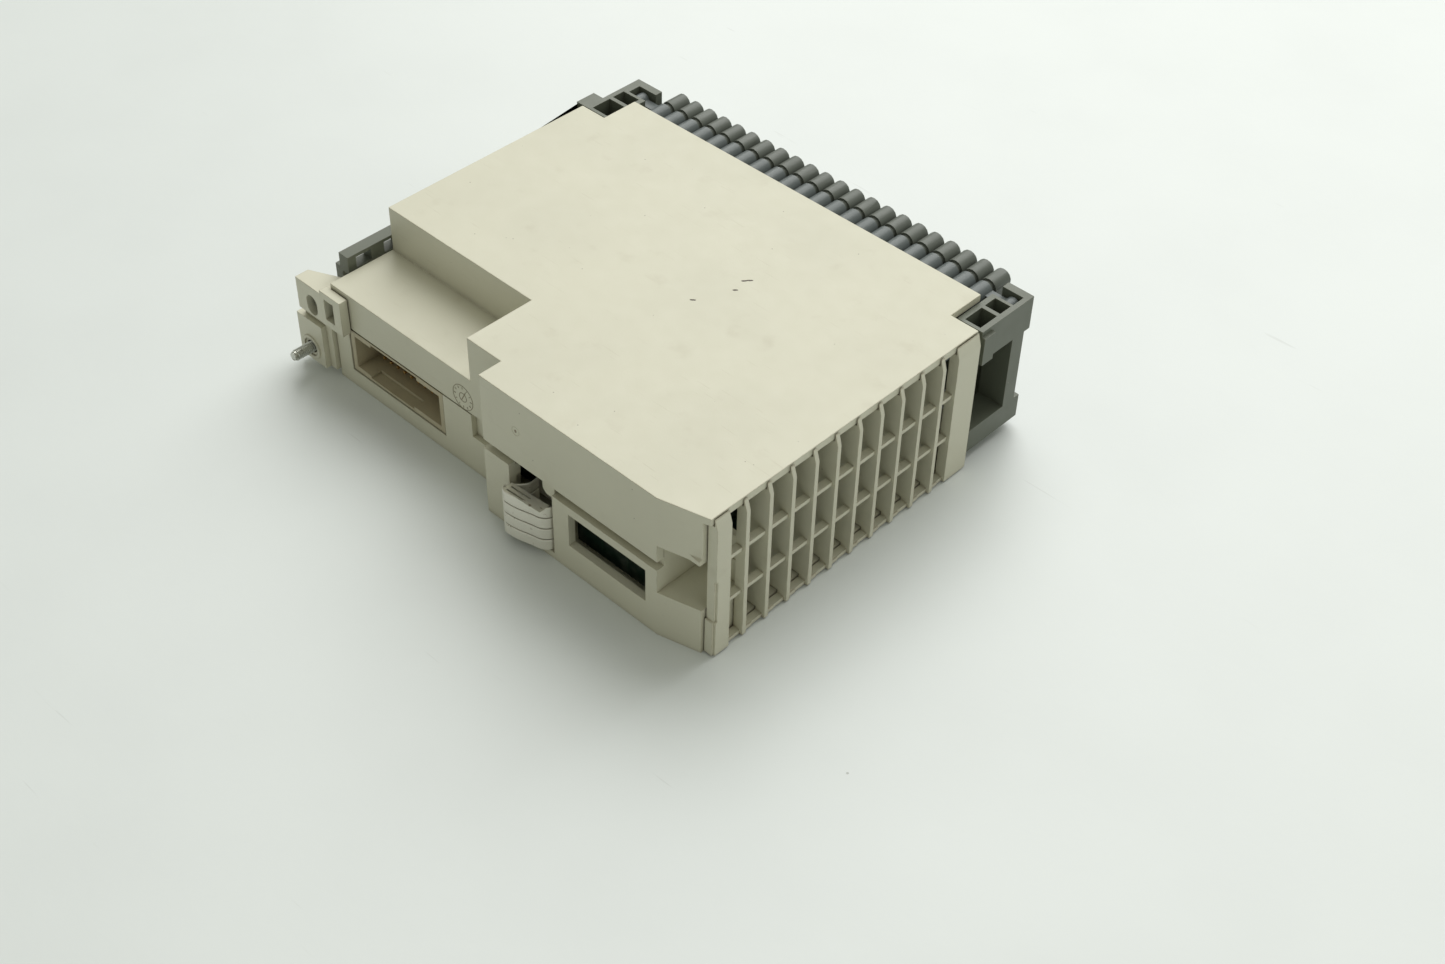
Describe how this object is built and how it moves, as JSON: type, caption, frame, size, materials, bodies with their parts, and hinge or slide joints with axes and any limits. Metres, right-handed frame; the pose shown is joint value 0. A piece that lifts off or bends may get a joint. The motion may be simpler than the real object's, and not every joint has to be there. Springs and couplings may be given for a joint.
{
  "type": "plc module",
  "caption": "Slim rack-mounted input/output module lying on its side, with a vented end, rear bus socket, sprung earth contacts, captive screw ear and a row of plug-in screw terminals.",
  "frame": {"origin": "bottom centre of the bounding box, with the module lying on its plain side as it is pictured", "axes": "+X from the mounting ear to the ventilation grille (the module's height when racked), +Y from the rear bus socket to the terminal front (its depth), +Z through its thickness"},
  "size_m": [0.142, 0.1176, 0.0406],
  "materials": {
    "case_plastic": "moulded, fine texture",
    "frame_plastic": "moulded, fine texture",
    "plug_plastic": "moulded, satin",
    "header_plastic": "moulded, satin",
    "connector_plastic": "moulded, smooth",
    "contact_gold": "plated",
    "earth_spring": "tinned spring strip",
    "zinc_steel": "zinc plated",
    "circuit_board": "solder resist",
    "component_black": "moulded",
    "capacitor_sleeve": "shrink sleeve",
    "flap_plastic": "smooth",
    "card": "matt",
    "dark_aluminium": "anodised",
    "clear_part": "clear"
  },
  "bodies": {
    "case": {"base_shell": "case_plastic", "side_cover": "case_plastic", "vent_grille": "case_plastic", "bus_connector": "connector_plastic", "bus_contacts": "contact_gold", "earth_strip": "earth_spring", "front_frame": "frame_plastic", "terminal_header": "header_plastic", "flap_pin": "zinc_steel", "main_board": "circuit_board", "upper_board": "circuit_board", "filter_board": "circuit_board", "board_pillar_1": "zinc_steel", "board_pillar_2": "zinc_steel", "board_pillar_3": "zinc_steel", "board_pillar_4": "zinc_steel", "heat_sink": "dark_aluminium", "bus_chip": "component_black", "converter": "component_black", "capacitor_1": "capacitor_sleeve", "capacitor_2": "capacitor_sleeve", "board_link": "component_black", "fuse": "clear_part", "led_bar": "component_black", "light_guide": "clear_part"},
    "label_flap": {"label_flap": "flap_plastic", "label_card": "card"},
    "captive_washer": {"captive_washer": "zinc_steel"},
    "captive_screw": {"captive_screw": "zinc_steel"},
    "terminal_plug_1": {"terminal_plug_1": "plug_plastic"},
    "terminal_plug_2": {"terminal_plug_2": "plug_plastic"},
    "earth_finger_1": {"earth_finger_1": "earth_spring"},
    "earth_finger_2": {"earth_finger_2": "earth_spring"},
    "earth_finger_3": {"earth_finger_3": "earth_spring"},
    "earth_finger_4": {"earth_finger_4": "earth_spring"},
    "terminal_screw_01": {"terminal_screw_01": "zinc_steel"},
    "terminal_screw_02": {"terminal_screw_02": "zinc_steel"},
    "terminal_screw_03": {"terminal_screw_03": "zinc_steel"},
    "terminal_screw_04": {"terminal_screw_04": "zinc_steel"},
    "terminal_screw_05": {"terminal_screw_05": "zinc_steel"},
    "terminal_screw_06": {"terminal_screw_06": "zinc_steel"},
    "terminal_screw_07": {"terminal_screw_07": "zinc_steel"},
    "terminal_screw_08": {"terminal_screw_08": "zinc_steel"},
    "terminal_screw_09": {"terminal_screw_09": "zinc_steel"},
    "terminal_screw_10": {"terminal_screw_10": "zinc_steel"},
    "terminal_screw_11": {"terminal_screw_11": "zinc_steel"},
    "terminal_screw_12": {"terminal_screw_12": "zinc_steel"},
    "terminal_screw_13": {"terminal_screw_13": "zinc_steel"},
    "terminal_screw_14": {"terminal_screw_14": "zinc_steel"},
    "terminal_screw_15": {"terminal_screw_15": "zinc_steel"},
    "terminal_screw_16": {"terminal_screw_16": "zinc_steel"},
    "terminal_screw_17": {"terminal_screw_17": "zinc_steel"},
    "terminal_screw_18": {"terminal_screw_18": "zinc_steel"},
    "terminal_screw_19": {"terminal_screw_19": "zinc_steel"},
    "terminal_screw_20": {"terminal_screw_20": "zinc_steel"},
    "terminal_screw_21": {"terminal_screw_21": "zinc_steel"},
    "terminal_screw_22": {"terminal_screw_22": "zinc_steel"}
  },
  "joints": [
    {"name": "label_flap_hinge", "type": "hinge", "parent": "case", "child": "label_flap", "pos_m": [0.006, 0.05668, 0.0032], "axis": [-1, 0, 0], "range_deg": [0, 90]},
    {"name": "captive_screw_slide", "type": "slide", "parent": "case", "child": "captive_washer", "axis": [0, 1, 0], "range_m": [0, 0.005]},
    {"name": "captive_screw_turn", "type": "hinge", "parent": "captive_washer", "child": "captive_screw", "pos_m": [-0.0664, -0.04723, 0.0062], "axis": [0, 1, 0], "continuous": true},
    {"name": "earth_finger_1_press", "type": "slide", "parent": "case", "child": "earth_finger_1", "axis": [0, 1, 0], "range_m": [0, 0.002], "stiffness_N_per_m": 400},
    {"name": "earth_finger_2_press", "type": "slide", "parent": "case", "child": "earth_finger_2", "axis": [0, 1, 0], "range_m": [0, 0.002], "stiffness_N_per_m": 400},
    {"name": "earth_finger_3_press", "type": "slide", "parent": "case", "child": "earth_finger_3", "axis": [0, 1, 0], "range_m": [0, 0.002], "stiffness_N_per_m": 400},
    {"name": "earth_finger_4_press", "type": "slide", "parent": "case", "child": "earth_finger_4", "axis": [0, 1, 0], "range_m": [0, 0.002], "stiffness_N_per_m": 400},
    {"name": "terminal_plug_1_pull", "type": "slide", "parent": "case", "child": "terminal_plug_1", "axis": [0, 1, 0], "range_m": [0, 0.014]},
    {"name": "terminal_plug_2_pull", "type": "slide", "parent": "case", "child": "terminal_plug_2", "axis": [0, 1, 0], "range_m": [0, 0.014]},
    {"name": "terminal_screw_01_turn", "type": "hinge", "parent": "terminal_plug_1", "child": "terminal_screw_01", "pos_m": [-0.0471, 0.05577, 0.03601], "axis": [0, 1, 0], "continuous": true},
    {"name": "terminal_screw_02_turn", "type": "hinge", "parent": "terminal_plug_1", "child": "terminal_screw_02", "pos_m": [-0.0421, 0.05577, 0.03601], "axis": [0, 1, 0], "continuous": true},
    {"name": "terminal_screw_03_turn", "type": "hinge", "parent": "terminal_plug_1", "child": "terminal_screw_03", "pos_m": [-0.0371, 0.05577, 0.03601], "axis": [0, 1, 0], "continuous": true},
    {"name": "terminal_screw_04_turn", "type": "hinge", "parent": "terminal_plug_1", "child": "terminal_screw_04", "pos_m": [-0.0321, 0.05577, 0.03601], "axis": [0, 1, 0], "continuous": true},
    {"name": "terminal_screw_05_turn", "type": "hinge", "parent": "terminal_plug_1", "child": "terminal_screw_05", "pos_m": [-0.0271, 0.05577, 0.03601], "axis": [0, 1, 0], "continuous": true},
    {"name": "terminal_screw_06_turn", "type": "hinge", "parent": "terminal_plug_1", "child": "terminal_screw_06", "pos_m": [-0.0221, 0.05577, 0.03601], "axis": [0, 1, 0], "continuous": true},
    {"name": "terminal_screw_07_turn", "type": "hinge", "parent": "terminal_plug_1", "child": "terminal_screw_07", "pos_m": [-0.0171, 0.05577, 0.03601], "axis": [0, 1, 0], "continuous": true},
    {"name": "terminal_screw_08_turn", "type": "hinge", "parent": "terminal_plug_1", "child": "terminal_screw_08", "pos_m": [-0.0121, 0.05577, 0.03601], "axis": [0, 1, 0], "continuous": true},
    {"name": "terminal_screw_09_turn", "type": "hinge", "parent": "terminal_plug_1", "child": "terminal_screw_09", "pos_m": [-0.0071, 0.05577, 0.03601], "axis": [0, 1, 0], "continuous": true},
    {"name": "terminal_screw_10_turn", "type": "hinge", "parent": "terminal_plug_1", "child": "terminal_screw_10", "pos_m": [-0.0021, 0.05577, 0.03601], "axis": [0, 1, 0], "continuous": true},
    {"name": "terminal_screw_11_turn", "type": "hinge", "parent": "terminal_plug_1", "child": "terminal_screw_11", "pos_m": [0.0029, 0.05577, 0.03601], "axis": [0, 1, 0], "continuous": true},
    {"name": "terminal_screw_12_turn", "type": "hinge", "parent": "terminal_plug_2", "child": "terminal_screw_12", "pos_m": [0.0079, 0.05577, 0.03601], "axis": [0, 1, 0], "continuous": true},
    {"name": "terminal_screw_13_turn", "type": "hinge", "parent": "terminal_plug_2", "child": "terminal_screw_13", "pos_m": [0.0129, 0.05577, 0.03601], "axis": [0, 1, 0], "continuous": true},
    {"name": "terminal_screw_14_turn", "type": "hinge", "parent": "terminal_plug_2", "child": "terminal_screw_14", "pos_m": [0.0179, 0.05577, 0.03601], "axis": [0, 1, 0], "continuous": true},
    {"name": "terminal_screw_15_turn", "type": "hinge", "parent": "terminal_plug_2", "child": "terminal_screw_15", "pos_m": [0.0229, 0.05577, 0.03601], "axis": [0, 1, 0], "continuous": true},
    {"name": "terminal_screw_16_turn", "type": "hinge", "parent": "terminal_plug_2", "child": "terminal_screw_16", "pos_m": [0.0279, 0.05577, 0.03601], "axis": [0, 1, 0], "continuous": true},
    {"name": "terminal_screw_17_turn", "type": "hinge", "parent": "terminal_plug_2", "child": "terminal_screw_17", "pos_m": [0.0329, 0.05577, 0.03601], "axis": [0, 1, 0], "continuous": true},
    {"name": "terminal_screw_18_turn", "type": "hinge", "parent": "terminal_plug_2", "child": "terminal_screw_18", "pos_m": [0.0379, 0.05577, 0.03601], "axis": [0, 1, 0], "continuous": true},
    {"name": "terminal_screw_19_turn", "type": "hinge", "parent": "terminal_plug_2", "child": "terminal_screw_19", "pos_m": [0.0429, 0.05577, 0.03601], "axis": [0, 1, 0], "continuous": true},
    {"name": "terminal_screw_20_turn", "type": "hinge", "parent": "terminal_plug_2", "child": "terminal_screw_20", "pos_m": [0.0479, 0.05577, 0.03601], "axis": [0, 1, 0], "continuous": true},
    {"name": "terminal_screw_21_turn", "type": "hinge", "parent": "terminal_plug_2", "child": "terminal_screw_21", "pos_m": [0.0529, 0.05577, 0.03601], "axis": [0, 1, 0], "continuous": true},
    {"name": "terminal_screw_22_turn", "type": "hinge", "parent": "terminal_plug_2", "child": "terminal_screw_22", "pos_m": [0.0579, 0.05577, 0.03601], "axis": [0, 1, 0], "continuous": true}
  ],
  "couplings": [
    {"joint": "earth_finger_2_press", "follows": "earth_finger_1_press", "ratio": 1},
    {"joint": "earth_finger_3_press", "follows": "earth_finger_1_press", "ratio": 1},
    {"joint": "earth_finger_4_press", "follows": "earth_finger_1_press", "ratio": 1}
  ]
}
